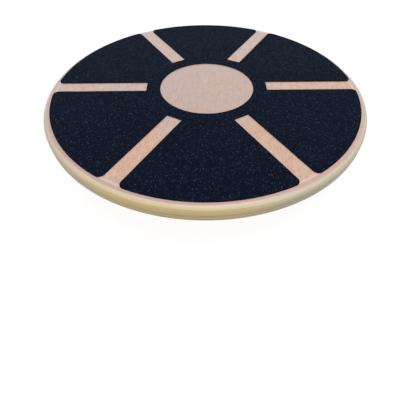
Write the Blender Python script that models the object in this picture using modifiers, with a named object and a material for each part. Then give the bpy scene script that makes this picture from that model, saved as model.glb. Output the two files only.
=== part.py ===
"""Wooden balance disc: a round plywood deck with an anti-slip sheet, screwed to a moulded dome foot.

Metres, +Z up. The origin is the lowest point of the dome, on the disc's axis. The deck is level.
"""
import math

import bmesh
import bpy
from mathutils import Matrix

# Clearance kept wherever two pieces touch, such as the glue line between two plies.
GAP = 0.0003

# Deck: plywood of seven core plies between two thin face veneers. Its top edge rolls over on a
# quarter ellipse, its lower edge on a quarter circle.
DECK_RADIUS = 0.200
DECK_THICKNESS = 0.018
FACE_VENEER = 0.0006
CORE_PLIES = 7
TOP_EDGE_REACH = 0.009
TOP_EDGE_DROP = 0.007
UNDER_EDGE_ROUND = 0.0045
DECK_SEGMENTS = 96

# Anti-slip sheet: six sectors joined by a ring round a bare centre, with straight slots between them.
GRIP_THICKNESS = 0.0008
GRIP_RADIUS = 0.191
GRIP_HOLE_RADIUS = 0.0597
GRIP_HOLE_SEGMENTS = 60
GRIP_SLOTS = 6
SLOT_WIDTH = 0.020
SLOT_START_RADIUS = 0.0767
SLOT_FIRST_ANGLE = math.radians(2.7)
GRIP_CORNER_ROUND = 0.006

# Foot: a hollow moulding with a flange against the deck and a domed cap on the floor.
FOOT_HEIGHT = 0.0632
FOOT_WALL = 0.0032
FOOT_SEGMENTS = 64
FOOT_TURN = math.radians(27.5)
FLANGE_RADIUS = 0.0882
FLANGE_THICKNESS = 0.0035
FLANGE_RIM_ROUND = 0.0012
WALL_BASE_RADIUS = 0.0602
WALL_TIP_RADIUS = 0.0591
WALL_FILLET = 0.0025
SHOULDER_ROUND = 0.0094
SHOULDER_STEPS = 6
DOME_RADIUS = 0.1478
DOME_FLAT_RADIUS = 0.010
DOME_STEPS = 9

# Gussets outside the wall and stiffening ribs inside it stand on the same eight bearings.
GUSSETS = 8
GUSSET_THICKNESS = 0.0024
GUSSET_FOOT_RADIUS = 0.0865
GUSSET_REACH = 0.039
RIB_THICKNESS = 0.0022
RIB_DROP = 0.001
HUB_RADIUS = 0.013
HUB_WALL = 0.0025
HUB_SEGMENTS = 24

# Screws: one midway between each two gussets, its head sunk in a raised boss that tapers.
SCREWS = GUSSETS
SCREW_CIRCLE_RADIUS = 0.074
BOSS_BASE_RADIUS = 0.0078
BOSS_TIP_RADIUS = 0.0064
BOSS_RISE = 0.003
COUNTERBORE_RADIUS = 0.0050
CLEARANCE_HOLE_RADIUS = 0.0024
SCREW_HEAD_RADIUS = 0.0042
SCREW_HEAD_HEIGHT = 0.0024
SCREW_HEAD_ROUND = 0.0014
SCREW_SHANK_RADIUS = 0.0018
SCREW_LENGTH = 0.014
SCREW_TIP = 0.003
PILOT_HOLE_RADIUS = 0.00225

# How far a cutter runs on past the face it opens.
OVERCUT = 0.001

# Heights above the floor, and the bearing of the first screw, that follow from those sizes.
DECK_UNDERSIDE = FOOT_HEIGHT + GAP
DECK_TOP = DECK_UNDERSIDE + DECK_THICKNESS
PLY_THICKNESS = (DECK_THICKNESS - 2 * FACE_VENEER - (CORE_PLIES + 1) * GAP) / CORE_PLIES
FLANGE_LOW = FOOT_HEIGHT - FLANGE_THICKNESS
SCREW_TURN = FOOT_TURN + math.pi / SCREWS


def empty_scene():
    """Removes every object that the scene starts with."""
    for obj in list(bpy.data.objects):
        bpy.data.objects.remove(obj, do_unlink=True)


def new_collection(name):
    """A collection linked to the scene."""
    collection = bpy.data.collections.new(name)
    bpy.context.scene.collection.children.link(collection)
    return collection


def plain_material(name, colour, roughness, metallic=0.0):
    """A Principled material of one colour."""
    material = bpy.data.materials.new(name)
    material.use_nodes = True
    shader = material.node_tree.nodes["Principled BSDF"]
    shader.inputs["Base Color"].default_value = (*colour, 1.0)
    shader.inputs["Roughness"].default_value = roughness
    shader.inputs["Metallic"].default_value = metallic
    return material


def add_part(name, mesh, material, height=0.0, turn=0.0):
    """A named piece of the disc, standing on the axis at a height and turned about it."""
    obj = bpy.data.objects.new(name, mesh)
    mesh.materials.clear()
    mesh.materials.append(material)
    obj.location.z = height
    obj.rotation_euler.z = turn
    obj.parent = ROOT
    PARTS.objects.link(obj)
    return obj


def add_cutter(name, mesh):
    """A shape that only cuts or trims, kept out of the renders."""
    obj = bpy.data.objects.new(name, mesh)
    obj.hide_render = True
    obj.display_type = "WIRE"
    CUTTERS.objects.link(obj)
    return obj


def bake(obj):
    """Gives an object the mesh that its modifiers make, and drops them."""
    bpy.context.view_layer.update()
    evaluated = obj.evaluated_get(bpy.context.evaluated_depsgraph_get())
    mesh = bpy.data.meshes.new_from_object(evaluated)
    obj.modifiers.clear()
    obj.data = mesh
    return obj


def shade(obj, sharp_angle=math.radians(32.0)):
    """Smooth shading that keeps the edges sharper than an angle."""
    obj.data.shade_smooth()
    obj.data.set_sharp_from_angle(angle=sharp_angle)
    return obj


def combine(obj, operand, operation):
    """A Boolean of two objects, baked. The operand stays as a guide."""
    modifier = obj.modifiers.new(operand.name, "BOOLEAN")
    modifier.operation = operation
    modifier.object = operand
    modifier.solver = "EXACT"
    return bake(obj)


def on_circle(radius, angle, centre=(0.0, 0.0)):
    """The point of a circle at an angle in degrees from +X."""
    turn = math.radians(angle)
    return (centre[0] + radius * math.cos(turn), centre[1] + radius * math.sin(turn))


def arc(centre, radius, start, end, steps):
    """Points of an arc, both ends included, between two angles in degrees from +X."""
    return [on_circle(radius, start + (end - start) * k / steps, centre) for k in range(steps + 1)]


def turned_mesh(name, profile, segments):
    """A solid of revolution about Z. The profile runs down the outer side, from axis to axis."""
    mesh = bpy.data.meshes.new(name)
    points = [(radius, 0.0, height) for radius, height in profile]
    mesh.from_pydata(points, [(k, k + 1) for k in range(len(points) - 1)], [])
    obj = add_cutter(name, mesh)
    screw = obj.modifiers.new("turn", "SCREW")
    screw.axis = "Z"
    screw.steps = segments
    screw.render_steps = segments
    screw.use_merge_vertices = True
    screw.merge_threshold = 0.00001
    bake(obj)
    turned = obj.data
    bpy.data.objects.remove(obj)
    return turned


def plate_mesh(name, loops, thickness):
    """A flat plate with an outline and any holes, centred on the XY plane."""
    curve = bpy.data.curves.new(name, "CURVE")
    curve.dimensions = "2D"
    curve.fill_mode = "BOTH"
    curve.extrude = thickness / 2
    for loop in loops:
        spline = curve.splines.new("POLY")
        spline.points.add(len(loop) - 1)
        for point, (x, y) in zip(spline.points, loop):
            point.co = (x, y, 0.0, 1.0)
        spline.use_cyclic_u = True
    obj = bpy.data.objects.new(name, curve)
    CUTTERS.objects.link(obj)
    bpy.context.view_layer.update()
    evaluated = obj.evaluated_get(bpy.context.evaluated_depsgraph_get())
    mesh = bpy.data.meshes.new_from_object(evaluated)
    bpy.data.objects.remove(obj)
    welded = bmesh.new()
    welded.from_mesh(mesh)
    bmesh.ops.remove_doubles(welded, verts=welded.verts, dist=0.00001)
    bmesh.ops.recalc_face_normals(welded, faces=welded.faces)
    welded.to_mesh(mesh)
    welded.free()
    return mesh


def cone_mesh(name, low_radius, high_radius, low, high, segments):
    """A truncated cone, or a cylinder, on the Z axis between two heights."""
    cone = bmesh.new()
    bmesh.ops.create_cone(
        cone,
        cap_ends=True,
        segments=segments,
        radius1=low_radius,
        radius2=high_radius,
        depth=high - low,
        matrix=Matrix.Translation((0.0, 0.0, (low + high) / 2)),
    )
    mesh = bpy.data.meshes.new(name)
    cone.to_mesh(mesh)
    cone.free()
    return mesh


def box_mesh(name, size, centre):
    """A box of a size about a centre."""
    box = bmesh.new()
    place = Matrix.Translation(centre) @ Matrix.Diagonal((*size, 1.0))
    bmesh.ops.create_cube(box, size=1.0, matrix=place)
    mesh = bpy.data.meshes.new(name)
    box.to_mesh(mesh)
    box.free()
    return mesh


def around(mesh, radius, count, first_angle):
    """One mesh with copies of another, evenly spaced on a circle about Z and facing outwards."""
    ring = bmesh.new()
    for k in range(count):
        known = len(ring.verts)
        ring.from_mesh(mesh)
        ring.verts.ensure_lookup_table()
        turn = Matrix.Rotation(first_angle + math.tau * k / count, 4, "Z")
        place = turn @ Matrix.Translation((radius, 0.0, 0.0))
        bmesh.ops.transform(ring, matrix=place, verts=ring.verts[known:])
    joined = bpy.data.meshes.new(mesh.name + "_ring")
    ring.to_mesh(joined)
    ring.free()
    return joined


def deck_edge(height):
    """Radius of the deck's rounded edge at a height above its underside."""
    below = (UNDER_EDGE_ROUND - height) / UNDER_EDGE_ROUND
    above = (height - DECK_THICKNESS + TOP_EDGE_DROP) / TOP_EDGE_DROP
    if below > 0:
        return DECK_RADIUS - UNDER_EDGE_ROUND * (1 - math.sqrt(1 - below**2))
    if above > 0:
        return DECK_RADIUS - TOP_EDGE_REACH * (1 - math.sqrt(max(1 - above**2, 0.0)))
    return DECK_RADIUS


def layer_mesh(name, low, thickness):
    """One layer of the deck. Its rim follows the rounded edge, in two bands where that is curved."""
    curved = low < UNDER_EDGE_ROUND or low + thickness > DECK_THICKNESS - TOP_EDGE_DROP
    bands = 2 if curved else 1
    levels = [thickness * (1 - k / bands) for k in range(bands + 1)]
    rim = [(deck_edge(low + level), level) for level in levels]
    return turned_mesh(name, [(0.0, thickness), *rim, (0.0, 0.0)], DECK_SEGMENTS)


def drill_pilot_holes(obj, low):
    """Cuts the screws' pilot holes through one layer of the deck."""
    high = PLY_THICKNESS + OVERCUT
    drill = cone_mesh("pilot_hole", PILOT_HOLE_RADIUS, PILOT_HOLE_RADIUS, -OVERCUT, high, 8)
    cutter = add_cutter(obj.name + "_pilot_holes", around(drill, SCREW_CIRCLE_RADIUS, SCREWS, SCREW_TURN))
    cutter.location.z = DECK_UNDERSIDE + low
    return combine(obj, cutter, "DIFFERENCE")


def build_deck():
    """Stacks the plywood from its underside up, with pilot holes as deep as the screws reach."""
    layers = [("under_face_veneer", FACE_VENEER, VENEER)]
    for k in range(1, CORE_PLIES + 1):
        layers.append((f"core_ply_{k}", PLY_THICKNESS, LONG_PLY if k % 2 else CROSS_PLY))
    layers.append(("top_face_veneer", FACE_VENEER, VENEER))
    screw_end = FLANGE_LOW - GAP + SCREW_LENGTH - DECK_UNDERSIDE
    low = 0.0
    for name, thickness, material in layers:
        layer = add_part(name, layer_mesh(name, low, thickness), material, DECK_UNDERSIDE + low)
        if low < screw_end:
            drill_pilot_holes(layer, low)
        shade(layer)
        low += thickness + GAP


def sector_loop():
    """Outline of the anti-slip sheet: slot ends, slot sides, rounded corners and outer arcs in turn."""
    half = SLOT_WIDTH / 2
    corner_radius = GRIP_RADIUS - GRIP_CORNER_ROUND
    bearing = math.degrees(math.asin((half + GRIP_CORNER_ROUND) / corner_radius))
    pitch = 360.0 / GRIP_SLOTS
    first_corner = on_circle(corner_radius, bearing)
    last_corner = on_circle(corner_radius, pitch - bearing)
    one = [(SLOT_START_RADIUS, -half), (SLOT_START_RADIUS, half)]
    one += arc(first_corner, GRIP_CORNER_ROUND, -90.0, bearing, 5)
    one += arc((0.0, 0.0), GRIP_RADIUS, bearing, pitch - bearing, 12)[1:-1]
    one += arc(last_corner, GRIP_CORNER_ROUND, pitch - bearing, pitch + 90.0, 5)
    loop = []
    for k in range(GRIP_SLOTS):
        turn = SLOT_FIRST_ANGLE + math.radians(pitch * k)
        cos, sin = math.cos(turn), math.sin(turn)
        loop += [(x * cos - y * sin, x * sin + y * cos) for x, y in one]
    return loop


def build_grip_sheet():
    """The sheet lies on the top veneer, inside the deck's rounded edge."""
    hole = arc((0.0, 0.0), GRIP_HOLE_RADIUS, 0.0, 360.0, GRIP_HOLE_SEGMENTS)[:-1]
    mesh = plate_mesh("grip_sheet", [sector_loop(), hole], GRIP_THICKNESS)
    sheet = add_part("grip_sheet", mesh, GRIP, DECK_TOP + GAP + GRIP_THICKNESS / 2)
    shade(sheet)


def foot_side(inset, coarse=1):
    """The foot's side from its shoulder down to the dome's flat, moved inwards by an inset."""
    dome_centre = (0.0, math.sqrt(DOME_RADIUS**2 - DOME_FLAT_RADIUS**2))
    dome = DOME_RADIUS - inset
    shoulder_x = WALL_TIP_RADIUS - SHOULDER_ROUND
    shoulder_z = dome_centre[1] - math.sqrt((DOME_RADIUS - SHOULDER_ROUND) ** 2 - shoulder_x**2)
    lean = math.degrees(math.atan2(shoulder_x, dome_centre[1] - shoulder_z))
    flat = math.degrees(math.asin(DOME_FLAT_RADIUS / DOME_RADIUS))
    shoulder_centre = (shoulder_x, shoulder_z)
    shoulder = arc(shoulder_centre, SHOULDER_ROUND - inset, 0.0, lean - 90.0, SHOULDER_STEPS // coarse)
    cap = arc(dome_centre, dome, lean - 90.0, flat - 90.0, DOME_STEPS // coarse)
    return shoulder + cap[1:]


def foot_shell_mesh():
    """The turned shell: hollow inside, with the flange's rim and the fillet under it rounded."""
    rim = (FLANGE_RADIUS - FLANGE_RIM_ROUND, FLANGE_LOW + FLANGE_RIM_ROUND)
    fillet = (WALL_BASE_RADIUS + WALL_FILLET, FLANGE_LOW - WALL_FILLET)
    inner = foot_side(FOOT_WALL, coarse=3)
    profile = [(0.0, inner[-1][1])]
    profile += reversed(inner)
    profile += [(WALL_BASE_RADIUS - FOOT_WALL, FOOT_HEIGHT), (FLANGE_RADIUS, FOOT_HEIGHT)]
    profile += arc(rim, FLANGE_RIM_ROUND, 0.0, -90.0, 3)
    profile += arc(fillet, WALL_FILLET, 90.0, 180.0, 3)
    profile += foot_side(0.0)
    profile += [(0.0, 0.0)]
    return turned_mesh("foot_moulding", profile, FOOT_SEGMENTS)


def gusset_mesh():
    """One triangular gusset, rooted in the wall and in the flange, lying in the XZ plane."""
    slope = (FLANGE_LOW - (FOOT_HEIGHT - GUSSET_REACH)) / (GUSSET_FOOT_RADIUS - WALL_TIP_RADIUS)
    root_x = WALL_TIP_RADIUS - FOOT_WALL / 2
    root_z = FLANGE_LOW + FLANGE_RIM_ROUND
    toe_x = GUSSET_FOOT_RADIUS + (root_z - FLANGE_LOW) / slope
    heel_z = root_z - (toe_x - root_x) * slope
    mesh = plate_mesh("gusset", [[(root_x, heel_z), (toe_x, root_z), (root_x, root_z)]], GUSSET_THICKNESS)
    mesh.transform(Matrix.Rotation(math.radians(90.0), 4, "X"))
    return mesh


def build_rib_lattice():
    """Radial ribs and a hollow hub inside the foot, trimmed to reach halfway into its wall."""
    top = FOOT_HEIGHT - RIB_DROP
    across = 2 * WALL_BASE_RADIUS
    ribs = None
    for k in range(GUSSETS // 2):
        mesh = box_mesh("rib", (across, RIB_THICKNESS, top), (0.0, 0.0, top / 2))
        mesh.transform(Matrix.Rotation(math.tau * k / GUSSETS, 4, "Z"))
        plate = add_cutter(f"rib_{k + 1}", mesh)
        ribs = combine(ribs, plate, "UNION") if ribs else plate
    bore_radius = HUB_RADIUS - HUB_WALL
    hub = cone_mesh("hub", HUB_RADIUS, HUB_RADIUS, 0.0, top, HUB_SEGMENTS)
    bore = cone_mesh("hub_bore", bore_radius, bore_radius, -OVERCUT, top + OVERCUT, HUB_SEGMENTS)
    combine(ribs, add_cutter("hub", hub), "UNION")
    combine(ribs, add_cutter("hub_bore", bore), "DIFFERENCE")
    side = foot_side(FOOT_WALL / 2, coarse=3)
    profile = [(0.0, FOOT_HEIGHT), (WALL_BASE_RADIUS - FOOT_WALL / 2, FOOT_HEIGHT)]
    profile += [*side, (0.0, side[-1][1])]
    plug = add_cutter("foot_plug", turned_mesh("foot_plug", profile, FOOT_SEGMENTS))
    return combine(ribs, plug, "INTERSECT")


def build_foot():
    """The moulding: shell, gussets, inner ribs and screw bosses in one, then the screw holes."""
    foot = add_part("foot_moulding", foot_shell_mesh(), PLASTIC)
    midway = math.pi / SCREWS
    boss_low = FLANGE_LOW - BOSS_RISE
    sunk = FLANGE_THICKNESS / 2
    root_radius = BOSS_BASE_RADIUS + (BOSS_BASE_RADIUS - BOSS_TIP_RADIUS) * sunk / BOSS_RISE
    boss = cone_mesh("boss", BOSS_TIP_RADIUS, root_radius, boss_low, FLANGE_LOW + sunk, 20)
    steps = [
        (0.0, FOOT_HEIGHT + OVERCUT),
        (CLEARANCE_HOLE_RADIUS, FOOT_HEIGHT + OVERCUT),
        (CLEARANCE_HOLE_RADIUS, FLANGE_LOW),
        (COUNTERBORE_RADIUS, FLANGE_LOW),
        (COUNTERBORE_RADIUS, boss_low - OVERCUT),
        (0.0, boss_low - OVERCUT),
    ]
    bore = turned_mesh("screw_bore", steps, 16)
    bosses = around(boss, SCREW_CIRCLE_RADIUS, SCREWS, midway)
    bores = around(bore, SCREW_CIRCLE_RADIUS, SCREWS, midway)
    combine(foot, add_cutter("gussets", around(gusset_mesh(), 0.0, GUSSETS, 0.0)), "UNION")
    combine(foot, build_rib_lattice(), "UNION")
    combine(foot, add_cutter("bosses", bosses), "UNION")
    combine(foot, add_cutter("screw_bores", bores), "DIFFERENCE")
    foot.rotation_euler.z = FOOT_TURN
    shade(foot)


def screw_mesh():
    """A pan-head wood screw pointing up, its origin where the head seats."""
    rim = (SCREW_HEAD_RADIUS - SCREW_HEAD_ROUND, SCREW_HEAD_ROUND - SCREW_HEAD_HEIGHT)
    profile = [
        (0.0, SCREW_LENGTH),
        (SCREW_SHANK_RADIUS, SCREW_LENGTH - SCREW_TIP),
        (SCREW_SHANK_RADIUS, 0.0),
        (SCREW_HEAD_RADIUS, 0.0),
    ]
    profile += arc(rim, SCREW_HEAD_ROUND, 0.0, -90.0, 3)
    profile += [(0.0, -SCREW_HEAD_HEIGHT)]
    return turned_mesh("foot_screw", profile, 16)


def build_screws():
    """One screw in each boss, the head a gap below its seat."""
    mesh = screw_mesh()
    for k in range(SCREWS):
        bearing = SCREW_TURN + math.tau * k / SCREWS
        screw = add_part(f"foot_screw_{k + 1}", mesh, SCREW_BLACK, FLANGE_LOW - GAP, bearing)
        screw.location.x = SCREW_CIRCLE_RADIUS * math.cos(bearing)
        screw.location.y = SCREW_CIRCLE_RADIUS * math.sin(bearing)
        shade(screw)


empty_scene()
PARTS = new_collection("wooden_balance_disc")
CUTTERS = new_collection("cutters")
ROOT = bpy.data.objects.new("balance_disc_axis", None)
PARTS.objects.link(ROOT)

VENEER = plain_material("face_veneer", (0.70, 0.50, 0.42), 0.55)
LONG_PLY = plain_material("core_ply_long_grain", (0.72, 0.60, 0.40), 0.6)
CROSS_PLY = plain_material("core_ply_cross_grain", (0.62, 0.48, 0.30), 0.65)
GRIP = plain_material("grip_sheet", (0.012, 0.016, 0.030), 0.85)
PLASTIC = plain_material("foot_plastic", (0.012, 0.013, 0.016), 0.28)
SCREW_BLACK = plain_material("screw_black", (0.02, 0.02, 0.022), 0.35, 0.9)

build_foot()
build_screws()
build_deck()
build_grip_sheet()
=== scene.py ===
"""A wooden balance disc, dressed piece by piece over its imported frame: plywood deck, anti-slip sheet,
moulded dome foot and the screws that hold it. Metres, +Z up, the dome's lowest point at the origin."""

import bmesh
import bpy
import numpy as np
from mathutils import Matrix, Vector


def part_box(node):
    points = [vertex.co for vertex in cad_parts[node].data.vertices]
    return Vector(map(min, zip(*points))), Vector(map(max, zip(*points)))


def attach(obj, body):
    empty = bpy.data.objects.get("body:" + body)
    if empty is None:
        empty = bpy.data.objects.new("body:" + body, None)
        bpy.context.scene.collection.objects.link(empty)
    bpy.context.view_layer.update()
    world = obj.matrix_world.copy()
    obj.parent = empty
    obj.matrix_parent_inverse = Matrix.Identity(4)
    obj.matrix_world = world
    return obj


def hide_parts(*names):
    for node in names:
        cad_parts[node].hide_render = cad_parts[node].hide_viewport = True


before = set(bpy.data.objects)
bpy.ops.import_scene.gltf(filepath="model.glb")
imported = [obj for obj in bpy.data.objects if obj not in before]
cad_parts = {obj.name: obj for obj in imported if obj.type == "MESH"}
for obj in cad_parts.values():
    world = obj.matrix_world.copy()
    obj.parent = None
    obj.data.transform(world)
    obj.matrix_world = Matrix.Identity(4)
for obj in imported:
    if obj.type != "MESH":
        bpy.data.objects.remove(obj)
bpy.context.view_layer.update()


# Core plies. Seven sheets of peeled light hardwood, glued with their grain lengthways and crosswise
# in turn, pressed, sawn round and rolled over at the top edge. The rim is sanded and lacquered, so a
# ply shows cream where its fibres run along the rim and tan where they end in it.
DECK_RADIUS = 0.200
DECK_LOW, DECK_HIGH = 0.0635, 0.0815
ROLL_REACH, ROLL_DROP = 0.010, 0.007
LOWER_ROUND = 0.0045
PLIES = 7
GLUE_SEAM = 0.0003
UNDER_SEAM, TOP_SEAM = 0.0640, 0.0809
GLUE_GROOVE, SEAM_LIP = 0.00004, 0.00012
RIM_ROWS, RIM_SUPPORT = 13, 0.0005

SCREWS = 8
SCREW_CIRCLE, FIRST_SCREW, SCREW_END = 0.074, np.radians(50.0), 0.0734
PILOT_RADIUS = 0.00225
CELL_INNER, CELL_OUTER, CELL_ROWS = 0.0627, 0.0870, 5
SIDE_STEPS = 24
SPOKES = SCREWS * SIDE_STEPS
WELD = 0.000002


def rim_radius(height):
    """The deck's radius at a height: full, less a quarter ellipse at the top and a quarter circle below."""
    above = np.clip((height - DECK_HIGH + ROLL_DROP) / ROLL_DROP, 0.0, 1.0)
    below = np.clip((DECK_LOW + LOWER_ROUND - height) / LOWER_ROUND, 0.0, 1.0)
    rolled = ROLL_REACH * (1.0 - np.sqrt(1.0 - above**2))
    return DECK_RADIUS - rolled - LOWER_ROUND * (1.0 - np.sqrt(1.0 - below**2))


def carried_round(profile, spokes=SPOKES):
    """A profile of (radius, height) rows carried round Z: x = r cos a, y = r sin a, z = height."""
    radius, height = np.asarray(profile, float).T
    turn = np.linspace(0.0, 2.0 * np.pi, spokes + 1)
    axes = [np.outer(radius, np.cos(turn)), np.outer(radius, np.sin(turn)), np.outer(height, np.ones(spokes + 1))]
    return np.stack(axes, axis=-1)


def turned_about_z(grid, angle):
    """A grid of points turned about Z: x' = x cos a - y sin a, y' = x sin a + y cos a."""
    cos, sin = np.cos(angle), np.sin(angle)
    return grid @ np.array([[cos, sin, 0.0], [-sin, cos, 0.0], [0.0, 0.0, 1.0]])


def screw_cells(bore, height):
    """The face round each screw. Rows of (radius, height) circle the screw's axis first. Then the last
    circle spreads to the border of a cell: two arcs about Z and two spokes halfway to the next screws."""
    step = np.linspace(0.0, 1.0, SIDE_STEPS + 1)[:-1]
    half = np.pi / SCREWS
    level = np.ones(SIDE_STEPS)
    out, back = CELL_INNER + (CELL_OUTER - CELL_INNER) * step, CELL_OUTER - (CELL_OUTER - CELL_INNER) * step
    reach = np.concatenate([CELL_OUTER * level, back, CELL_INNER * level, out])
    swing = np.concatenate([(2 * step - 1) * half, half * level, (1 - 2 * step) * half, -half * level])
    border = np.stack([reach * np.cos(swing), reach * np.sin(swing)], axis=-1)
    border = np.concatenate([border, border[:1]])
    centre = np.array([SCREW_CIRCLE, 0.0])
    away = border - centre
    away /= np.linalg.norm(away, axis=1, keepdims=True)
    rows = [np.column_stack([centre + radius * away, np.full(len(away), z)]) for radius, z in bore]
    last = centre + bore[-1][0] * away
    for share in np.linspace(0.0, 1.0, CELL_ROWS + 1)[1:]:
        rows.append(np.column_stack([last + (border - last) * share, np.full(len(away), height)]))
    cell = np.stack(rows)
    return [turned_about_z(cell, 2.0 * np.pi * k / SCREWS) for k in range(SCREWS)]


def add_piece(name, grids, material, nodes, crease=32.0):
    """One mesh from grids of points. Neighbours in a grid are joined by a quad, and points that meet
    are merged. The piece rides the disc, stands for its CAD nodes and takes the finish it is given."""
    corners, first = [], 0
    for grid in grids:
        index = first + np.arange(grid.shape[0] * grid.shape[1]).reshape(grid.shape[:2])
        corners.append(np.stack([index[:-1, :-1], index[1:, :-1], index[1:, 1:], index[:-1, 1:]], -1).reshape(-1, 4))
        first += index.size
    mesh = bpy.data.meshes.new(name)
    points = np.concatenate([grid.reshape(-1, 3) for grid in grids])
    mesh.from_pydata(points.tolist(), [], np.concatenate(corners).tolist())
    shell = bmesh.new()
    shell.from_mesh(mesh)
    bmesh.ops.remove_doubles(shell, verts=shell.verts, dist=WELD)
    bmesh.ops.recalc_face_normals(shell, faces=shell.faces)
    shell.to_mesh(mesh)
    shell.free()
    mesh.materials.append(material)
    mesh.shade_smooth()
    mesh.set_sharp_from_angle(angle=np.radians(crease))
    piece = bpy.data.objects.new(name, mesh)
    bpy.context.scene.collection.objects.link(piece)
    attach(piece, "root")
    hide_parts(*nodes)
    return piece


def layer_grids(low, high, drilled):
    """One layer of the deck: its two faces and its rim. Rim rows crowd towards both faces: height =
    middle + half thickness x cos a, a in even steps from 0 to pi. A glued face has a fine groove at the
    rim, with one more row beside it. Drilled layers have a pilot hole for each screw."""
    wave = np.cos(np.linspace(0.0, np.pi, RIM_ROWS))
    heights = (high + low) / 2 + (high - low) / 2 * wave
    glued = [DECK_LOW < heights[0] < DECK_HIGH, DECK_LOW < heights[-1] < DECK_HIGH]
    lips = np.array([heights[0] - SEAM_LIP, heights[-1] + SEAM_LIP])[glued]
    heights = np.sort(np.append(heights, lips))[::-1]
    radii = rim_radius(heights)
    radii[[0, -1]] -= GLUE_GROOVE * np.array(glued)
    radii = np.concatenate([[radii[0] - RIM_SUPPORT], radii, [radii[-1] - RIM_SUPPORT]])
    rim = np.column_stack([radii, np.concatenate([heights[:1], heights, heights[-1:]])])
    middle = CELL_OUTER if drilled else 0.0
    grids = [carried_round(np.concatenate([[[middle, high]], rim, [[middle, low]]]))]
    if not drilled:
        return grids
    for level in (low, high):
        grids.append(carried_round([[0.0, level], [CELL_INNER, level]]))
    grids += screw_cells([[PILOT_RADIUS, low], [PILOT_RADIUS, high]], high)
    grids += screw_cells([[PILOT_RADIUS, low]], low)
    return [turned_about_z(grid, FIRST_SCREW) for grid in grids]


def tint(red, green, blue):
    """A colour given by its 0 to 255 screen values, as the linear values that a shader takes."""
    share = np.array([red, green, blue]) / 255.0
    linear = np.where(share <= 0.04045, share / 12.92, ((share + 0.055) / 1.055) ** 2.4)
    return (*linear.tolist(), 1.0)


def put(tree, kind, inputs=None, **settings):
    """Adds a shader node. Each input is a value, or the socket that feeds it."""
    node = tree.nodes.new("ShaderNode" + kind)
    for key, value in settings.items():
        setattr(node, key, value)
    for key, value in (inputs or {}).items():
        if isinstance(value, bpy.types.NodeSocket):
            tree.links.new(value, node.inputs[key])
        else:
            node.inputs[key].default_value = value
    return node


def reckon(tree, operation, first, second=0.0, third=0.0):
    """The result of a Math node."""
    return put(tree, "Math", {0: first, 1: second, 2: third}, operation=operation).outputs[0]


def ramp(tree, value, low, high):
    """0 where a value is at its low mark, 1 at its high mark, smooth between them."""
    marks = {"Value": value, "From Min": low, "From Max": high}
    return put(tree, "MapRange", marks, interpolation_type="SMOOTHSTEP").outputs["Result"]


def mixed(tree, share, first, second):
    """Two colours mixed by a share."""
    return put(tree, "Mix", {0: share, 6: first, 7: second}, data_type="RGBA").outputs[2]


def laid(tree, colour, mask, strength, over):
    """A colour with another laid over it: share of the other = mask x strength."""
    return mixed(tree, reckon(tree, "MULTIPLY", mask, strength), colour, over)


def noise(tree, vector, scale, detail=3.0, distortion=0.0):
    """Noise on a vector that is stretched by a scale along each axis, in cycles a metre."""
    stretched = put(tree, "VectorMath", {0: vector, 1: scale}, operation="MULTIPLY").outputs[0]
    inputs = {"Vector": stretched, "Scale": 1.0, "Detail": detail, "Distortion": distortion}
    return put(tree, "TexNoise", inputs).outputs[0]


def new_group(name, *masks):
    """A shader node group that turns a place into masks. Gives the group, the place's socket and the
    masks' sockets."""
    group = bpy.data.node_groups.new(name, "ShaderNodeTree")
    group.interface.new_socket("Vector", in_out="INPUT", socket_type="NodeSocketVector")
    for label in masks:
        group.interface.new_socket(label, in_out="OUTPUT", socket_type="NodeSocketFloat")
    return group, group.nodes.new("NodeGroupInput").outputs["Vector"], group.nodes.new("NodeGroupOutput").inputs


def use_group(tree, group, place):
    """The masks of a node group at a place."""
    return put(tree, "Group", {"Vector": place}, node_tree=group).outputs


def new_material(name, colour, roughness, **constants):
    """A material with one Principled shader, its plain values set on the shader's own sockets."""
    material = bpy.data.materials.new(name)
    material.use_nodes = True
    tree = material.node_tree
    shader = tree.nodes["Principled BSDF"]
    shader.inputs["Base Color"].default_value = colour
    shader.inputs["Roughness"].default_value = roughness
    for key, value in constants.items():
        shader.inputs[key.replace("_", " ").title().replace("Ior", "IOR")].default_value = value
    place = put(tree, "TexCoord").outputs["Object"]
    return material, tree, shader, place


def set_relief(tree, shader, rough, relief, strength, distance):
    """Links a roughness, and a relief that bumps the surface by up to a distance in metres."""
    bump = put(tree, "Bump", {"Strength": strength, "Distance": distance, "Height": relief})
    tree.links.new(rough, shader.inputs["Roughness"])
    tree.links.new(bump.outputs[0], shader.inputs["Normal"])


# Grain shared by every wood surface. Its X runs along the fibres: broad figure, fine fibres, and the
# short dark pores of a peeled veneer.
FIGURE_SCALE, FIBRE_SCALE, PORE_SCALE = (7.0, 34.0, 160.0), (45.0, 1100.0, 1100.0), (190.0, 2100.0, 2100.0)
FIBRE_MARKS, PORE_MARKS = (0.3, 0.7), (0.60, 0.72)
wood_grain, along, masks = new_group("wood_grain", "Figure", "Fibre", "Pore")
figure = noise(wood_grain, along, FIGURE_SCALE, detail=4.0, distortion=0.8)
fibre = noise(wood_grain, along, FIBRE_SCALE, distortion=0.3)
speck = noise(wood_grain, along, PORE_SCALE, detail=2.0)
wood_grain.links.new(figure, masks["Figure"])
wood_grain.links.new(ramp(wood_grain, fibre, *FIBRE_MARKS), masks["Fibre"])
wood_grain.links.new(ramp(wood_grain, speck, *PORE_MARKS), masks["Pore"])

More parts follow.
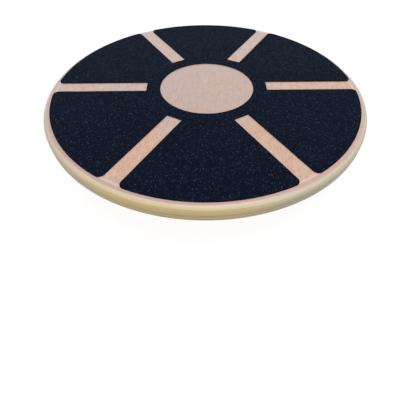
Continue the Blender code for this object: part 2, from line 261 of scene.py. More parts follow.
# Glue lines between plies: dark where the height, which wanders a little, is within a hair of a seam.
# Heights are counted in plies from the lowest seam, and a line fades out over the given shares of a ply.
# The outermost seams, those of the veneers, have no line.
PLY_PITCH, FIRST_SEAM = 0.0023571, 0.06425
SEAM_WANDER, WANDER_SCALE = 0.00012, (60.0, 60.0, 60.0)
LINE_FADE, HALF_PLY = (0.085, 0.02), (0.4, 0.6)
glue_line, spot, masks = new_group("glue_line", "Line")
level = put(glue_line, "SeparateXYZ", {0: spot}).outputs["Z"]
wander = noise(glue_line, spot, WANDER_SCALE, detail=2.0)
level = reckon(glue_line, "MULTIPLY_ADD", wander, SEAM_WANDER, level)
turns = reckon(glue_line, "SUBTRACT", level, FIRST_SEAM + SEAM_WANDER / 2)
turns = reckon(glue_line, "DIVIDE", turns, PLY_PITCH)
offset = reckon(glue_line, "ABSOLUTE", reckon(glue_line, "SUBTRACT", turns, reckon(glue_line, "ROUND", turns)))
above, below = ramp(glue_line, turns, *HALF_PLY), ramp(glue_line, turns, *(PLIES - share for share in HALF_PLY))
between = reckon(glue_line, "MULTIPLY", above, below)
near = reckon(glue_line, "MULTIPLY", ramp(glue_line, offset, *LINE_FADE), between)
glue_line.links.new(near, masks["Line"])

CREAM, PALE_CREAM, DEEP_CREAM = tint(224, 207, 156), tint(230, 216, 173), tint(218, 198, 145)
END_TAN, END_BROWN, END_DARK = tint(215, 192, 142), tint(208, 183, 132), tint(187, 156, 109)
GLUE_BROWN = tint(168, 134, 90)
END_FALLOFF, DEEP_MARKS = 1.6, (0.35, 0.75)
# Where the rolled edge thins out towards the veneer, its pink shows through, more so at the sides.
# Along the top of the roll that pink is also lightened as a painted highlight.
FEATHER, FEATHER_PINK_AND_HIGHLIGHT = (0.0785, 0.0808), tint(230, 210, 195)
THIN_EDGE, THIN_PINK, THIN_SIDES = (0.0800, 0.0808), tint(202, 165, 150), (0.08, 0.13)
# Towards both sides the wood is greyed by a painted reflection, and the upright part of the rim
# is darkened there by painted shade. Both are weakest a little to the left of the middle.
EVEN_SPOT = -0.03
REFLECTION_SIDES, SIDE_REFLECTION_GREY = (0.04, 0.14), tint(214, 210, 196)
UPRIGHT, SIDE_SHADE, SHADED_SIDES = (0.0792, 0.0755), tint(142, 135, 118), (0.05, 0.12)


def core_material(name, fibre_turn, fibre_axis):
    """Core wood whose fibres run along X or Y. Share of end grain at the rim = |cos a| ** END_FALLOFF,
    where a is the angle between the rim's outward direction and the fibres."""
    material, tree, shader, place = new_material(
        name, CREAM, roughness=0.5, specular_ior_level=0.2, coat_weight=0.15, coat_roughness=0.3
    )
    turned = put(tree, "Mapping", {"Vector": place, "Rotation": (0.0, 0.0, fibre_turn)}).outputs[0]
    grain = use_group(tree, wood_grain, turned)
    flat = put(tree, "VectorMath", {0: place, 1: (1.0, 1.0, 0.0)}, operation="MULTIPLY").outputs[0]
    outward = put(tree, "VectorMath", {0: flat}, operation="NORMALIZE").outputs[0]
    lined = put(tree, "VectorMath", {0: outward, 1: fibre_axis}, operation="DOT_PRODUCT").outputs["Value"]
    end_share = reckon(tree, "POWER", reckon(tree, "ABSOLUTE", lined), END_FALLOFF)
    side = mixed(tree, grain["Fibre"], PALE_CREAM, CREAM)
    side = mixed(tree, ramp(tree, grain["Figure"], *DEEP_MARKS), side, DEEP_CREAM)
    ending = laid(tree, mixed(tree, grain["Fibre"], END_TAN, END_BROWN), grain["Pore"], 0.7, END_DARK)
    colour = laid(tree, mixed(tree, end_share, side, ending), grain["Pore"], 0.25, END_TAN)
    spot = put(tree, "SeparateXYZ", {0: place}).outputs
    aside = reckon(tree, "ABSOLUTE", reckon(tree, "SUBTRACT", spot["X"], EVEN_SPOT))
    # Pink of the thinning veneer, lightened along the top of the roll as a painted highlight.
    colour = laid(tree, colour, ramp(tree, spot["Z"], *FEATHER), 0.6, FEATHER_PINK_AND_HIGHLIGHT)
    # Painted reflection: the wood greyed towards both sides.
    colour = laid(tree, colour, ramp(tree, aside, *REFLECTION_SIDES), 0.6, SIDE_REFLECTION_GREY)
    thin = reckon(tree, "MULTIPLY", ramp(tree, aside, *THIN_SIDES), ramp(tree, spot["Z"], *THIN_EDGE))
    colour = laid(tree, colour, thin, 0.55, THIN_PINK)
    # Painted shade: the upright part of the rim darker towards both sides.
    shaded = reckon(tree, "MULTIPLY", ramp(tree, aside, *SHADED_SIDES), ramp(tree, spot["Z"], *UPRIGHT))
    colour = laid(tree, colour, shaded, 0.3, SIDE_SHADE)
    seam = use_group(tree, glue_line, place)["Line"]
    colour = laid(tree, colour, seam, 0.55, GLUE_BROWN)
    tree.links.new(colour, shader.inputs["Base Color"])
    rough = reckon(tree, "MULTIPLY_ADD", grain["Fibre"], 0.12, reckon(tree, "MULTIPLY_ADD", end_share, 0.08, 0.40))
    relief = reckon(tree, "MULTIPLY_ADD", grain["Pore"], -0.8, reckon(tree, "MULTIPLY", grain["Fibre"], 0.35))
    relief = reckon(tree, "MULTIPLY_ADD", seam, -0.8, relief)
    set_relief(tree, shader, rough, relief, strength=0.35, distance=0.00006)
    return material


long_ply = core_material("core_long_grain", 0.0, (1.0, 0.0, 0.0))
cross_ply = core_material("core_cross_grain", np.pi / 2, (0.0, 1.0, 0.0))
for k in range(1, PLIES + 1):
    low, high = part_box(f"core_ply_{k}")
    bottom = UNDER_SEAM if k == 1 else low[2] - GLUE_SEAM / 2
    top = TOP_SEAM if k == PLIES else high[2] + GLUE_SEAM / 2
    finish, slot = (long_ply, "core_long_grain") if k % 2 else (cross_ply, "core_cross_grain")
    add_piece(f"ply_{k}", layer_grids(bottom, top, low[2] < SCREW_END), finish, [f"core_ply_{k}"])


# Face veneers. A thin sheet of pinkish wood on each side of the deck, lacquered, its fibres crossing
# those of the ply behind it. The rolled edge cuts through it and leaves a darker pink band.
PEACH, ROSE, PEACH_STREAK = tint(224, 185, 161), tint(209, 187, 179), tint(199, 153, 128)
UNDER_WARM, UNDER_COOL, UNDER_STREAK = tint(217, 177, 161), tint(206, 172, 160), tint(190, 150, 137)
PORE_BROWN, CENTRE_SHADE = tint(150, 108, 90), tint(190, 162, 156)
ROLL_PALE, ROLL_PINK = tint(226, 204, 194), tint(202, 167, 159)
CLOUD_SCALE, MOTTLE_SCALE = (9.0, 26.0, 1.0), (110.0, 190.0, 1.0)
CLOUD_MARKS, STREAK_MARKS, PALE_MARKS = (0.25, 0.75), (0.48, 0.74), (0.46, 0.30)
DRIFT, INWARDS, CENTRE_COOLNESS, LESS_COOL = (-2.4, 3.2, 0.0), (0.170, 0.070), 0.65, 0.2
CENTRE_EDGE = (0.0610, 0.0585)
PALE_START, PALE_STOP, BAND_START = (0.1874, 0.1886), (0.1908, 0.1898), (0.1900, 0.1908)
BAND_RIGHT = (0.14, 0.02)


def reach_from_axis(tree, place):
    """The distance from the Z axis."""
    flat = put(tree, "VectorMath", {0: place, 1: (1.0, 1.0, 0.0)}, operation="MULTIPLY").outputs[0]
    return put(tree, "VectorMath", {0: flat}, operation="LENGTH").outputs["Value"]


def veneer_material(name, warm, cool, streak, figure):
    """Mottled pink wood, lacquered, with fibres along Y. Its tone drifts from a warm one at the rim to a
    cool one in the middle, in clouds, and across the disc from the near right to the far left. Figure
    is the strength of the mottle."""
    material, tree, shader, place = new_material(
        name, warm, roughness=0.45, specular_ior_level=0.2, coat_weight=1.0, coat_roughness=0.22
    )
    turned = put(tree, "Mapping", {"Vector": place, "Rotation": (0.0, 0.0, np.pi / 2)}).outputs[0]
    grain = use_group(tree, wood_grain, turned)
    cloud = noise(tree, turned, CLOUD_SCALE, distortion=1.2)
    drift = put(tree, "VectorMath", {0: place, 1: DRIFT}, operation="DOT_PRODUCT").outputs["Value"]
    coolness = reckon(tree, "ADD", ramp(tree, cloud, *CLOUD_MARKS), drift)
    inwards = ramp(tree, reach_from_axis(tree, place), *INWARDS)
    coolness = reckon(tree, "MULTIPLY_ADD", inwards, CENTRE_COOLNESS, reckon(tree, "SUBTRACT", coolness, LESS_COOL))
    colour = mixed(tree, ramp(tree, coolness, 0.0, 1.0), warm, cool)
    mottle = noise(tree, turned, MOTTLE_SCALE, distortion=1.0)
    colour = laid(tree, colour, ramp(tree, mottle, *STREAK_MARKS), 0.7 * figure, streak)
    colour = laid(tree, colour, ramp(tree, mottle, *PALE_MARKS), 0.6 * figure, ROLL_PALE)
    colour = laid(tree, colour, grain["Fibre"], 0.5 * figure, streak)
    colour = laid(tree, colour, grain["Pore"], 0.55 * figure, PORE_BROWN)
    rough = reckon(tree, "MULTIPLY_ADD", grain["Fibre"], 0.12, 0.38)
    relief = reckon(tree, "MULTIPLY_ADD", grain["Pore"], -1.0, reckon(tree, "MULTIPLY", grain["Fibre"], 0.4))
    set_relief(tree, shader, rough, relief, strength=0.3, distance=0.00005)
    return material, tree, shader, place, colour


# The top face is a little darker in the centre. Towards the roll a pale line comes before the pink band,
# and the band is weaker on the right.
top_face, tree, shader, place, colour = veneer_material("top_face_veneer", PEACH, ROSE, PEACH_STREAK, 0.9)
radius = reach_from_axis(tree, place)
colour = laid(tree, colour, ramp(tree, radius, *CENTRE_EDGE), 0.3, CENTRE_SHADE)
pale = reckon(tree, "MULTIPLY", ramp(tree, radius, *PALE_START), ramp(tree, radius, *PALE_STOP))
colour = laid(tree, colour, pale, 0.8, ROLL_PALE)
aside = put(tree, "SeparateXYZ", {0: place}).outputs["X"]
strength = reckon(tree, "MULTIPLY_ADD", ramp(tree, aside, *BAND_RIGHT), 0.55, 0.35)
colour = laid(tree, colour, ramp(tree, radius, *BAND_START), strength, ROLL_PINK)
tree.links.new(colour, shader.inputs["Base Color"])
low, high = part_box("top_face_veneer")
grids = layer_grids(TOP_SEAM, high[2], False)
add_piece("top_veneer", grids, top_face, ["top_face_veneer"])

under_face, tree, shader, place, colour = veneer_material(
    "under_face_veneer", UNDER_WARM, UNDER_COOL, UNDER_STREAK, 0.4
)
tree.links.new(colour, shader.inputs["Base Color"])
low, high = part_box("under_face_veneer")
grids = layer_grids(low[2], UNDER_SEAM, True)
add_piece("under_veneer", grids, under_face, ["under_face_veneer"])


# Anti-slip sheet. One die-cut sheet of rubber-backed black grit, stuck to the top veneer: six sectors
# on a ring round a bare centre, with straight slots between them that run out through the rim.
SHEET_TOP = 0.0826
SHEET_RADIUS, SHEET_HOLE = 0.191, 0.0597
SLOTS, SLOT_HALF, SLOT_START = 6, 0.010, 0.0767
FIRST_SLOT = np.radians(2.7)
CORNER_ROUND = 0.006
SHEET_EDGE = 0.00018
SECTOR_STEPS, SLOT_STEPS, CORNER_STEPS, RING_ROWS = 48, 12, 12, 8
GRAIN_SCALE, CHIP_SCALE, GRIT_CLOUD = 1250.0, 620.0, (30.0, 30.0, 30.0)
CLOUDED, CHIPPED, GLINTING = (0.35, 0.7), (0.90, 0.99), (0.95, 1.0)
GRIT, GRIT_DARK, GRIT_LIGHT = tint(16, 22, 36), tint(2, 8, 21), tint(17, 25, 43)
GRIT_CHIP, GRIT_GLINT = tint(38, 48, 70), tint(84, 98, 122)


def sheet_grids():
    """The sheet's upper face. The ring spans hole to slot ends: a chord across each slot, an arc between
    slots. Each sector spreads from that arc to the rim, between lines parallel to its slots; near the
    rim the lines give way to the corner arcs, found with the law of cosines."""
    pitch = 2.0 * np.pi / SLOTS
    shoulder = np.hypot(SLOT_START, SLOT_HALF)
    edge = np.arcsin(SLOT_HALF / shoulder)
    across = np.linspace(0.0, 1.0, SECTOR_STEPS + 1)
    mouth = np.linspace(-edge, edge, SLOT_STEPS + 1)[:-1]
    span = edge + (pitch - 2 * edge) * across[:-1]
    turn = [k * pitch + np.concatenate([mouth, span]) for k in range(SLOTS)]
    turn = np.concatenate(turn + [[SLOTS * pitch - edge]])
    reach = np.tile(np.concatenate([SLOT_START / np.cos(mouth), np.full(len(span), shoulder)]), SLOTS)
    reach = np.append(reach, shoulder)
    rows = np.linspace(0.0, 1.0, RING_ROWS + 1)[:, None]
    radius = SHEET_HOLE + (reach - SHEET_HOLE) * rows
    ring = np.stack([radius * np.cos(turn), radius * np.sin(turn), np.full_like(radius, SHEET_TOP)], axis=-1)

    middle = SHEET_RADIUS - CORNER_ROUND
    bearing = np.arcsin((SLOT_HALF + CORNER_ROUND) / middle)
    tangent = middle * np.cos(bearing)
    straight = np.linspace(shoulder, np.hypot(tangent, SLOT_HALF), SECTOR_STEPS + 1)
    swing = np.radians(np.linspace(-90.0, 0.0, CORNER_STEPS + 1)[1:]) + bearing * np.linspace(0.0, 1.0, CORNER_STEPS)
    corner = np.array([middle * np.cos(bearing), middle * np.sin(bearing)])
    curved = np.hypot(corner[0] + CORNER_ROUND * np.cos(swing), corner[1] + CORNER_ROUND * np.sin(swing))
    radius = np.concatenate([straight, curved])
    cosine = (curved**2 + middle**2 - CORNER_ROUND**2) / (2.0 * curved * middle)
    start = np.concatenate([np.arcsin(SLOT_HALF / straight), bearing - np.arccos(np.clip(cosine, -1.0, 1.0))])
    turn = start[:, None] + (pitch - 2.0 * start)[:, None] * across
    radius = radius[:, None]
    sector = np.stack([radius * np.cos(turn), radius * np.sin(turn), np.full_like(turn, SHEET_TOP)], axis=-1)
    return [ring] + [turned_about_z(sector, k * pitch) for k in range(SLOTS)]


def grit_material():
    """Navy-black grit: close-set grains, each its own shade, a few painted light as glints."""
    material, tree, shader, place = new_material("anti_slip_grit", GRIT, roughness=0.8, specular_ior_level=0.03)
    grain = put(tree, "TexVoronoi", {"Vector": place, "Scale": GRAIN_SCALE, "Randomness": 1.0})
    coarse = put(tree, "TexVoronoi", {"Vector": place, "Scale": CHIP_SCALE, "Randomness": 1.0})
    shade = put(tree, "SeparateColor", {0: grain.outputs["Color"]}).outputs
    chip = put(tree, "SeparateColor", {0: coarse.outputs["Color"]}).outputs
    cloud = noise(tree, place, GRIT_CLOUD)
    colour = mixed(tree, shade["Red"], GRIT_DARK, GRIT_LIGHT)
    colour = laid(tree, colour, ramp(tree, cloud, *CLOUDED), 0.3, GRIT_LIGHT)
    colour = laid(tree, colour, ramp(tree, chip["Green"], *CHIPPED), 0.5, GRIT_CHIP)
    # Painted glints: a few grains lightened in colour as if catching the light.
    colour = laid(tree, colour, ramp(tree, shade["Green"], *GLINTING), 0.6, GRIT_GLINT)
    tree.links.new(colour, shader.inputs["Base Color"])
    rough = reckon(tree, "MULTIPLY_ADD", shade["Blue"], 0.35, 0.55)
    relief = reckon(tree, "SUBTRACT", reckon(tree, "MULTIPLY", shade["Blue"], 0.8), grain.outputs["Distance"])
    set_relief(tree, shader, rough, relief, strength=0.7, distance=0.00025)
    return material


grids = [turned_about_z(grid, FIRST_SLOT) for grid in sheet_grids()]
sheet = add_piece("anti_slip_sheet", grids, grit_material(), ["grip_sheet"])
backing = sheet.modifiers.new("thickness", "SOLIDIFY")
backing.thickness = SHEET_TOP - DECK_HIGH
backing.offset = -1.0
cut_edge = sheet.modifiers.new("cut_edge", "BEVEL")
cut_edge.width = SHEET_EDGE
cut_edge.segments = 2
cut_edge.limit_method = "ANGLE"


# Dome foot. One hollow injection moulding in satin black plastic: a flange against the deck, a
# slightly tapered wall, a rolled shoulder and a shallow domed cap, stiffened by eight gussets outside
# and eight ribs with a hub inside. Its screw bosses are drafted cones with a counterbore.
FOOT_HIGH, FLANGE_LOW = 0.0632, 0.0597
FLANGE_RADIUS, FLANGE_RIM = 0.0882, 0.0012
WALL_BASE, WALL_TIP, WALL = 0.0602, 0.0591, 0.0032
WALL_FILLET, WALL_TIP_Z = 0.0025, 0.0114
SHOULDER, DOME, DOME_FLAT = 0.0094, 0.1478, 0.010
GUSSET_TOE, GUSSET_HEEL_Z = 0.0865, 0.0242
GUSSET_HALF, GUSSET_CREST, GUSSET_DRAFT = 0.00115, 0.0005, 0.012
GUSSET_FILLET, GUSSET_SINK = 0.0011, 0.0001
GUSSET_FLARE_IN, GUSSET_ROOT = 0.002, (0.0585, 0.0612)
GUSSET_ROWS, CREST_POINTS, FLANK_POINTS, FLARE_POINTS = 49, 6, 7, 10
BORE, COUNTERBORE = 0.0024, 0.0050
BOSS_TIP, BOSS_BASE, BOSS_LOW = 0.0064, 0.0078, 0.0567
BOSS_EDGE, BOSS_FILLET, BOSS_LEAN = 0.0004, 0.0009, 25.0
RIB_HALF, RIB_TOP, RIB_COLUMNS = 0.0011, 0.0622, 41
HUB_OUTER, HUB_INNER, HUB_LOW, HUB_SPOKES = 0.0130, 0.0105, 0.002, 96


def arc(centre, radius, start, end, count):
    """Points of an arc: centre plus radius times the cosine and sine of angles in degrees."""
    turn = np.radians(np.linspace(start, end, count))
    return np.column_stack([centre[0] + radius * np.cos(turn), centre[1] + radius * np.sin(turn)])


def foot_side(inset, count):
    """Shoulder and dome of the foot, an inset inside its skin: two tangent arcs, ending at the flat."""
    dome_z = np.sqrt(DOME**2 - DOME_FLAT**2)
    shoulder_x = WALL_TIP - SHOULDER
    shoulder_z = dome_z - np.sqrt((DOME - SHOULDER) ** 2 - shoulder_x**2)
    lean = np.degrees(np.arctan2(shoulder_x, dome_z - shoulder_z)) - 90.0
    flat = np.degrees(np.arcsin(DOME_FLAT / DOME)) - 90.0
    rolled = arc((shoulder_x, shoulder_z), SHOULDER - inset, 0.0, lean, count)
    cap = arc((0.0, dome_z), DOME - inset, lean, flat, 2 * count)
    return np.concatenate([rolled, cap[1:]])


def wall_radius(height):
    """The wall's outer radius at a height: a straight taper from base to tip."""
    share = (height - WALL_TIP_Z) / (FLANGE_LOW - WALL_FILLET - WALL_TIP_Z)
    return WALL_TIP + (WALL_BASE - WALL_TIP) * share


def capped(skin):
    """A skin of rings closed at both ends, each by a row of points at the mean of its last ring."""
    ends = [np.repeat(skin[end].mean(axis=0)[None], skin.shape[1], axis=0)[None] for end in (0, -1)]
    return np.concatenate([ends[0], skin, ends[1]], axis=0)


def gusset_grid():
    """One gusset in the XZ plane. Rows fan from the sloping crest to a root inside wall and flange.
    Its section starts at the root on one side, rounds the crest and returns on the other. Half
    thickness = crest rounding, plus draft with depth, plus a quarter-round flare near wall and flange."""
    crest_share = (1.0 - np.cos(np.linspace(0.0, np.pi, GUSSET_ROWS))) / 2
    toe = np.array([GUSSET_TOE, FLANGE_LOW])
    heel = np.array([wall_radius(GUSSET_HEEL_Z), GUSSET_HEEL_Z])
    crest = toe + (heel - toe) * crest_share[:, None]
    along = (heel - toe) / np.linalg.norm(heel - toe)
    root = np.array(GUSSET_ROOT)
    depth_all = abs(along[0] * (root - toe)[1] - along[1] * (root - toe)[0])

    # The share of each row at which it still stands clear of wall and flange by the gaps of the flare.
    flare_turn = np.radians(np.linspace(0.0, 90.0, FLARE_POINTS))
    gaps = GUSSET_FILLET * (1.0 - np.sin(flare_turn)) - GUSSET_SINK
    off_wall = crest[:, :1] - wall_radius(crest[:, 1:])
    off_flange = FLANGE_LOW - crest[:, 1:]
    root_off_wall, root_off_flange = root[0] - wall_radius(root[1]), FLANGE_LOW - root[1]
    to_wall = (off_wall - gaps) / (off_wall - root_off_wall)
    to_flange = (off_flange - gaps) / (off_flange - root_off_flange)
    rounded = GUSSET_CREST * (1.0 - np.cos(np.radians(np.linspace(0.0, 90.0, CREST_POINTS)))) / depth_all
    flared = np.maximum(np.minimum(to_wall, to_flange), rounded[-1])
    straight = rounded[-1] + (flared[:, :1] - rounded[-1]) * np.linspace(0.0, 1.0, FLANK_POINTS)[1:-1]
    share = np.concatenate([np.tile(rounded, (len(crest), 1)), straight, flared, np.ones((len(crest), 1))], axis=1)

    depth = share * depth_all
    short = np.clip(GUSSET_CREST - depth, 0.0, GUSSET_CREST)
    half = GUSSET_HALF - GUSSET_CREST + np.sqrt(GUSSET_CREST**2 - short**2) + GUSSET_DRAFT * depth
    place = crest[:, None, :] + (root - crest)[:, None, :] * share[..., None]
    clear = np.minimum(place[..., 0] - wall_radius(place[..., 1]), FLANGE_LOW - place[..., 1]) + GUSSET_SINK
    clear = np.clip(clear, 0.0, GUSSET_FILLET)
    flare = GUSSET_FILLET - np.sqrt(GUSSET_FILLET**2 - (GUSSET_FILLET - clear) ** 2)
    wide = half + flare * np.clip(depth / GUSSET_FLARE_IN, 0.0, 1.0)
    side = np.stack([place[..., 0], wide, place[..., 1]], axis=-1)
    other = side * np.array([1.0, -1.0, 1.0])
    return capped(np.concatenate([side[:, ::-1], other, side[:, -1:]], axis=1))


def rib_grid():
    """One inner rib across the foot: an upright rectangle carried along X, standing on the dome's inside."""
    across = np.linspace(-WALL_BASE + WALL / 2, WALL_BASE - WALL / 2, RIB_COLUMNS)
    inner = foot_side(WALL / 2, count=12)[::-1]
    floor = np.interp(np.abs(across), inner[:, 0], inner[:, 1])
    wide = np.full_like(across, RIB_HALF)
    top = np.full_like(across, RIB_TOP)
    corners = [(wide, floor), (wide, top), (-wide, top), (-wide, floor), (wide, floor)]
    return capped(np.stack([np.stack([across, y, z], axis=-1) for y, z in corners], axis=1))


def foot_grids():
    """The moulding: skin, flange, bosses, hollow inside, gussets, ribs and hub, each a grid."""
    fillet = arc((WALL_BASE + WALL_FILLET, FLANGE_LOW - WALL_FILLET), WALL_FILLET, 90.0, 180.0, count=9)
    skin = np.concatenate([fillet, foot_side(0.0, count=18), [[0.0, 0.0]]])
    rim = arc((FLANGE_RADIUS - FLANGE_RIM, FLANGE_LOW + FLANGE_RIM), FLANGE_RIM, -90.0, 0.0, count=7)
    rim = np.concatenate([rim, [[FLANGE_RADIUS, FOOT_HIGH], [CELL_OUTER, FOOT_HIGH]]])
    inside = foot_side(WALL, count=10)
    inside = np.concatenate([[[CELL_INNER, FOOT_HIGH], [WALL_BASE - WALL, FOOT_HIGH]], inside, [[0.0, inside[-1, 1]]]])
    tip = arc((BOSS_TIP - BOSS_EDGE, BOSS_LOW + BOSS_EDGE), BOSS_EDGE, -90.0, -BOSS_LEAN, count=4)
    mouth = arc((COUNTERBORE + BOSS_EDGE, BOSS_LOW + BOSS_EDGE), BOSS_EDGE, -180.0, -90.0, count=4)
    foot = arc((BOSS_BASE + BOSS_FILLET, FLANGE_LOW - BOSS_FILLET), BOSS_FILLET, 180.0 - BOSS_LEAN, 90.0, count=5)
    boss = np.concatenate([[[BORE, FOOT_HIGH], [BORE, FLANGE_LOW], [COUNTERBORE, FLANGE_LOW]], mouth, tip, foot])
    grids = [carried_round(skin), carried_round(rim), carried_round(inside)]
    grids += screw_cells(boss, FLANGE_LOW) + screw_cells([[BORE, FOOT_HIGH]], FOOT_HIGH)
    gusset = turned_about_z(gusset_grid(), np.pi / SCREWS)
    grids += [turned_about_z(gusset, 2.0 * np.pi * k / SCREWS) for k in range(SCREWS)]
    grids += [turned_about_z(rib_grid(), np.pi * (k + 0.5) / (SCREWS // 2)) for k in range(SCREWS // 2)]
    hub = [[HUB_INNER, RIB_TOP], [HUB_OUTER, RIB_TOP], [HUB_OUTER, HUB_LOW], [HUB_INNER, HUB_LOW], [HUB_INNER, RIB_TOP]]
    grids.append(carried_round(hub, HUB_SPOKES))
    return [turned_about_z(grid, FIRST_SCREW) for grid in grids]


# Handling marks shared by the plastic and the metal: cloudy smudges and fine hairline scratches.
SMUDGE_SCALE, HAIR_SCALE, CROSS_SCALE = (26.0, 26.0, 26.0), (900.0, 40.0, 900.0), (50.0, 1000.0, 700.0)
SMUDGE_MARKS, HAIR_MARKS = (0.35, 0.7), (0.70, 0.76)
handling, spot, masks = new_group("handling_marks", "Smudge", "Hairline")
smudge = ramp(handling, noise(handling, spot, SMUDGE_SCALE, detail=4.0, distortion=0.6), *SMUDGE_MARKS)
hairs = [noise(handling, spot, scale, detail=2.0, distortion=1.5) for scale in (HAIR_SCALE, CROSS_SCALE)]
hairline = reckon(handling, "MAXIMUM", *[ramp(handling, hair, *HAIR_MARKS) for hair in hairs])
handling.links.new(smudge, masks["Smudge"])
handling.links.new(hairline, masks["Hairline"])

PLASTIC, PLASTIC_DARK, PLASTIC_LIGHT, SCUFFED = tint(8, 11, 20), tint(6, 9, 18), tint(11, 14, 24), tint(70, 72, 78)
SCUFFS = (0.034, 0.004)
SPARK_SCALE, FLOW_SCALE = (2600.0, 2600.0, 2600.0), (55.0, 55.0, 55.0)


def plastic_material():
    """Satin black plastic with a fine moulded texture, smudged, and scuffed grey where the dome rolls."""
    material, tree, shader, place = new_material(
        "satin_black_plastic", PLASTIC, roughness=0.18, specular_ior_level=0.15
    )
    marks = use_group(tree, handling, place)
    radius = put(tree, "VectorMath", {0: place}, operation="LENGTH").outputs["Value"]
    rolling = reckon(tree, "MULTIPLY", ramp(tree, radius, *SCUFFS), marks["Hairline"])
    colour = mixed(tree, marks["Smudge"], PLASTIC_DARK, PLASTIC_LIGHT)
    colour = laid(tree, colour, rolling, 0.6, SCUFFED)
    tree.links.new(colour, shader.inputs["Base Color"])
    rough = reckon(tree, "MULTIPLY_ADD", marks["Smudge"], 0.08, 0.12)
    rough = reckon(tree, "MULTIPLY_ADD", rolling, 0.3, rough)
    spark, flow = (noise(tree, place, scale, detail=2.0) for scale in (SPARK_SCALE, FLOW_SCALE))
    relief = reckon(tree, "MULTIPLY_ADD", flow, 1.5, spark)
    set_relief(tree, shader, rough, relief, strength=0.12, distance=0.0001)
    return material


add_piece("dome_foot", foot_grids(), plastic_material(), ["foot_moulding"], crease=40.0)


# Screws. Eight black pan-head wood screws with a cross recess, driven up through the flange into the
# plies, each at its own turn.
HEAD_RADIUS, HEAD_HEIGHT, HEAD_ROUND = 0.0042, 0.0027, 0.0014
SHANK_RADIUS, SHANK_TIP = 0.0018, 0.003
CROWN_SINK = 0.00025
RECESS_HALF, RECESS_REACH, RECESS_DEPTH = 0.00042, 0.0021, 0.0015
RECESS_FLANK, RECESS_FALL = 0.00012, 0.7
RECESS_ROWS, CROWN_ROWS, SCREW_SPOKES = 34, 4, 96
TURN_EACH = 2.4
STEEL, STEEL_DARK, STEEL_LIGHT, STEEL_BARE = tint(48, 49, 54), tint(40, 41, 46), tint(62, 63, 68), tint(120, 121, 126)
PIT_SCALE = (3000.0, 3000.0, 3000.0)


def screw_grid():
    """A head of rings round its axis, seated on the flange, and a shank. The crown sinks by the square
    of the radius. The recess cuts it along two crossed grooves: depth = RECESS_DEPTH times
    (1 - distance / RECESS_REACH) ** RECESS_FALL, down to nothing over RECESS_FLANK at their sides."""
    top, inner = FLANGE_LOW - HEAD_HEIGHT, HEAD_RADIUS - HEAD_ROUND
    rings = np.linspace(0.0, RECESS_REACH, RECESS_ROWS)
    rings = np.concatenate([rings, np.linspace(RECESS_REACH, inner, CROWN_ROWS + 1)[1:]])
    crown = np.column_stack([rings, top + CROWN_SINK * (rings / inner) ** 2])
    edge = arc((inner, top + HEAD_ROUND + CROWN_SINK), HEAD_ROUND, -90.0, 0.0, count=9)
    shank = [[HEAD_RADIUS, FLANGE_LOW], [SHANK_RADIUS, FLANGE_LOW], [SHANK_RADIUS, SCREW_END - SHANK_TIP]]
    grid = carried_round(np.concatenate([crown, edge[1:], shank, [[0.0, SCREW_END]]]), SCREW_SPOKES)
    face = grid[: len(rings)]
    x, y = np.abs(face[..., 0]), np.abs(face[..., 1])
    for far, near in ((x, y), (y, x)):
        floor = RECESS_DEPTH * np.clip(1.0 - far / RECESS_REACH, 0.0, 1.0) ** RECESS_FALL
        wall = np.clip((RECESS_HALF - near) / RECESS_FLANK + 0.5, 0.0, 1.0)
        face[..., 2] = np.maximum(face[..., 2], top + floor * wall)
    return grid


def screw_material():
    """Black-coated steel, the coating rubbed thin in places."""
    material, tree, shader, place = new_material("black_steel", STEEL, roughness=0.34, metallic=0.85)
    marks = use_group(tree, handling, place)
    colour = laid(tree, mixed(tree, marks["Smudge"], STEEL_DARK, STEEL_LIGHT), marks["Hairline"], 0.5, STEEL_BARE)
    tree.links.new(colour, shader.inputs["Base Color"])
    rough = reckon(tree, "MULTIPLY_ADD", marks["Smudge"], 0.15, 0.28)
    pits = noise(tree, place, PIT_SCALE, detail=2.0)
    set_relief(tree, shader, rough, pits, strength=0.1, distance=0.00005)
    return material


black_steel = screw_material()
upright = screw_grid()
for k in range(SCREWS):
    bearing = FIRST_SCREW + 2.0 * np.pi * k / SCREWS
    driven = turned_about_z(upright, TURN_EACH * k)
    driven = driven + np.array([SCREW_CIRCLE * np.cos(bearing), SCREW_CIRCLE * np.sin(bearing), 0.0])
    add_piece(f"screw_{k + 1}", [driven], black_steel, [f"foot_screw_{k + 1}"], crease=35.0)


# Studio. A white floor and surround with the disc's own soft shadow, a broad lamp above, one at each
# side that draws the light line along the rolled edge, and a weak one in front. A lamp has its place,
# size in metres and power in watts.
FLOOR_REACH, FLOOR_LEVEL = 6.0, -0.0003
FLOOR_PAINT, FLOOR_SHADE = tint(182, 182, 182), tint(116, 116, 116)
FLOOR_GLOW, FLOOR_FADE = 0.9, (0.5, 1.4)
UNDER_GLOW, UNDER_REACH = 0.9, (0.22, 0.12)
WORLD_LIGHT = 0.4
WHITE = (1.0, 1.0, 1.0, 1.0)
LAMP_TARGET = (0.0, 0.0, 0.08)
LAMPS = {
    "overhead": ((0.15, -0.35, 1.35), (0.8, 0.6), 8.0),
    "left_side": ((-0.85, -0.75, 0.7), (0.3, 0.6), 1.3),
    "right_side": ((0.9, -0.7, 0.75), (0.2, 0.4), 1.3),
    "front": ((0.0, -1.2, 0.35), (0.5, 0.3), 0.2),
}


def seen_rays(tree):
    """1 for rays by which the camera sees a surface, straight or mirrored."""
    path = put(tree, "LightPath").outputs
    return reckon(tree, "MAXIMUM", path["Is Camera Ray"], path["Is Glossy Ray"])


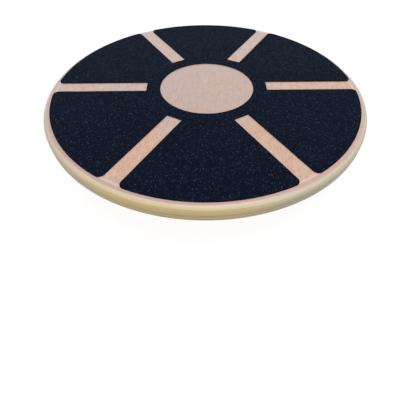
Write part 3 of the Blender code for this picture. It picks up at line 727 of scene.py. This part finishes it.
def add_floor():
    """A floor far wider than the view, just under the dome. To the camera it is mostly its own white,
    more so further out. To the object it is a plain pale sheet that returns light, and below the disc
    it glows, so that the underside is lit. From below it is clear, so that the underside can be seen."""
    mesh = bpy.data.meshes.new("studio_floor")
    corners = np.array([[-1, -1, 0], [1, -1, 0], [1, 1, 0], [-1, 1, 0]]) * FLOOR_REACH
    corners[:, 2] = FLOOR_LEVEL
    mesh.from_pydata(corners.tolist(), [], [[0, 1, 2, 3]])
    floor = bpy.data.objects.new("studio_floor", mesh)
    bpy.context.scene.collection.objects.link(floor)
    material = bpy.data.materials.new("studio_floor")
    material.use_nodes = True
    tree = material.node_tree
    tree.nodes.remove(tree.nodes["Principled BSDF"])
    seen = seen_rays(tree)
    paint = mixed(tree, seen, FLOOR_PAINT, FLOOR_SHADE)
    sheet = put(tree, "BsdfDiffuse", {"Color": paint}).outputs[0]
    radius = reach_from_axis(tree, put(tree, "TexCoord").outputs["Object"])
    white = reckon(tree, "MULTIPLY_ADD", ramp(tree, radius, *FLOOR_FADE), 1.0 - FLOOR_GLOW, FLOOR_GLOW)
    under = reckon(tree, "MULTIPLY", ramp(tree, radius, *UNDER_REACH), UNDER_GLOW)
    unseen = reckon(tree, "SUBTRACT", 1.0, seen)
    strength = reckon(tree, "MULTIPLY_ADD", unseen, under, reckon(tree, "MULTIPLY", seen, white))
    glow = put(tree, "Emission", {"Color": WHITE, "Strength": strength})
    both = put(tree, "AddShader", {0: sheet, 1: glow.outputs[0]}).outputs[0]
    below = put(tree, "NewGeometry").outputs["Backfacing"]
    clear = put(tree, "BsdfTransparent").outputs[0]
    either = put(tree, "MixShader", {0: below, 1: both, 2: clear}).outputs[0]
    tree.links.new(either, tree.nodes["Material Output"].inputs["Surface"])
    mesh.materials.append(material)


def add_lamp(name, place, size, power):
    """An oblong soft lamp that faces the disc."""
    data = bpy.data.lights.new(name, "AREA")
    data.shape = "RECTANGLE"
    data.size, data.size_y = size
    data.energy = power
    lamp = bpy.data.objects.new(name, data)
    bpy.context.scene.collection.objects.link(lamp)
    away = Vector(place) - Vector(LAMP_TARGET)
    lamp.matrix_world = Matrix.Translation(place) @ away.to_track_quat("Z", "Y").to_matrix().to_4x4()


def add_world():
    """Even white light from all round, at full white where it is seen or mirrored."""
    world = bpy.data.worlds.new("studio")
    bpy.context.scene.world = world
    world.use_nodes = True
    tree = world.node_tree
    through = put(tree, "LightPath").outputs["Is Transmission Ray"]
    seen = reckon(tree, "MAXIMUM", seen_rays(tree), through)
    strength = reckon(tree, "MULTIPLY_ADD", seen, 1.0 - WORLD_LIGHT, WORLD_LIGHT)
    background = tree.nodes["Background"].inputs
    tree.links.new(strength, background["Strength"])
    background["Color"].default_value = WHITE


add_floor()
add_world()
for name, setting in LAMPS.items():
    add_lamp(name, *setting)

# Camera. Its height, distance and lens follow the ellipses of the photograph's upper view; it leans
# about one degree, and its axis passes a little beside the frame's middle.
FRAME_WIDTH = 400.0
SENSOR = 36.0
ELEVATION, DISTANCE, FOCAL_PIXELS = np.radians(51.06), 0.3854, 298.6
ASIDE, RAISED = -0.0116, 0.1461
LEAN = np.radians(0.98)
AXIS_COLUMN = 213.9

cos, sin = np.cos(ELEVATION), np.sin(ELEVATION)
right, up, back = np.array([1.0, 0.0, 0.0]), np.array([0.0, sin, cos]), np.array([0.0, -cos, sin])
eye = -ASIDE * right - RAISED * up + DISTANCE * back + np.array([0.0, 0.0, DECK_HIGH])
data = bpy.data.cameras.new("camera")
data.lens = FOCAL_PIXELS / FRAME_WIDTH * SENSOR
data.sensor_width = SENSOR
data.shift_x = (FRAME_WIDTH / 2 - AXIS_COLUMN) / FRAME_WIDTH
data.clip_start = 0.01
camera = bpy.data.objects.new("camera", data)
bpy.context.scene.collection.objects.link(camera)
axes = Matrix(np.stack([right, up, back], axis=1).tolist()).to_4x4()
camera.matrix_world = Matrix.Translation(eye.tolist()) @ axes @ Matrix.Rotation(LEAN, 4, "Z")
bpy.context.scene.camera = camera
bpy.context.scene.view_settings.view_transform = "Standard"
